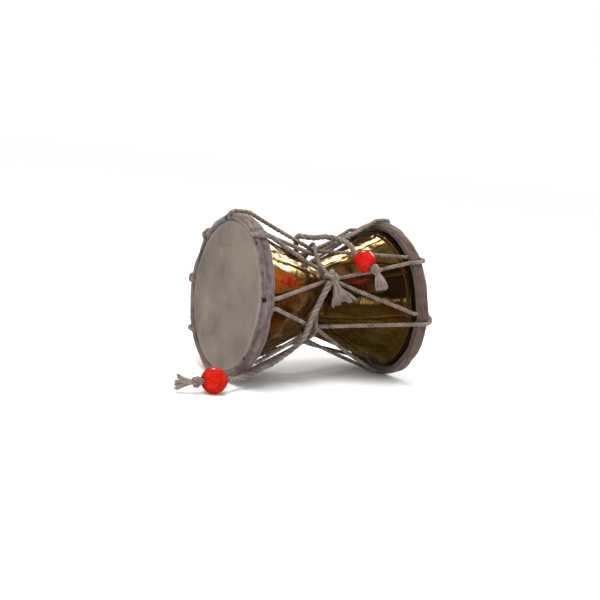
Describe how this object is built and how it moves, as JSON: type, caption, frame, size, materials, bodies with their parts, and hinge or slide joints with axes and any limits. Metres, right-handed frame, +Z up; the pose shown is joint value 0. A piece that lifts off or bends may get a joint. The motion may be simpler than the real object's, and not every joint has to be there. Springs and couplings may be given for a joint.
{
  "type": "damaru drum",
  "caption": "hourglass hand drum of sheet brass with a skin at each end, cloth-wrapped hoops, cross lacing gathered at the waist and beaded striker cords",
  "frame": {"origin": "middle of the drum's footprint, on the floor it lies on; the free beater cords are left out of the measure", "axes": "+X along the drum's axis from the head the first beater reaches past to the other, +Z up, -Y towards the waist knot"},
  "size_m": [0.1381, 0.0868, 0.0853],
  "materials": {
    "brass": "polished, a little uneven",
    "skin": "matt parchment",
    "wrap": "matt wrapped cloth",
    "cord": "matt cotton cord",
    "bead": "glossy"
  },
  "bodies": {
    "root": {"brass_body": "brass", "left_skin": "skin", "right_skin": "skin", "left_hoop": "wrap", "right_hoop": "wrap", "lacing": "cord", "waist_cord": "cord", "beater_1_cord": "cord", "beater_1_bead": "bead", "beater_1_knot": "cord", "beater_2_cord": "cord", "beater_2_bead": "bead", "beater_2_knot": "cord"}
  },
  "joints": []
}
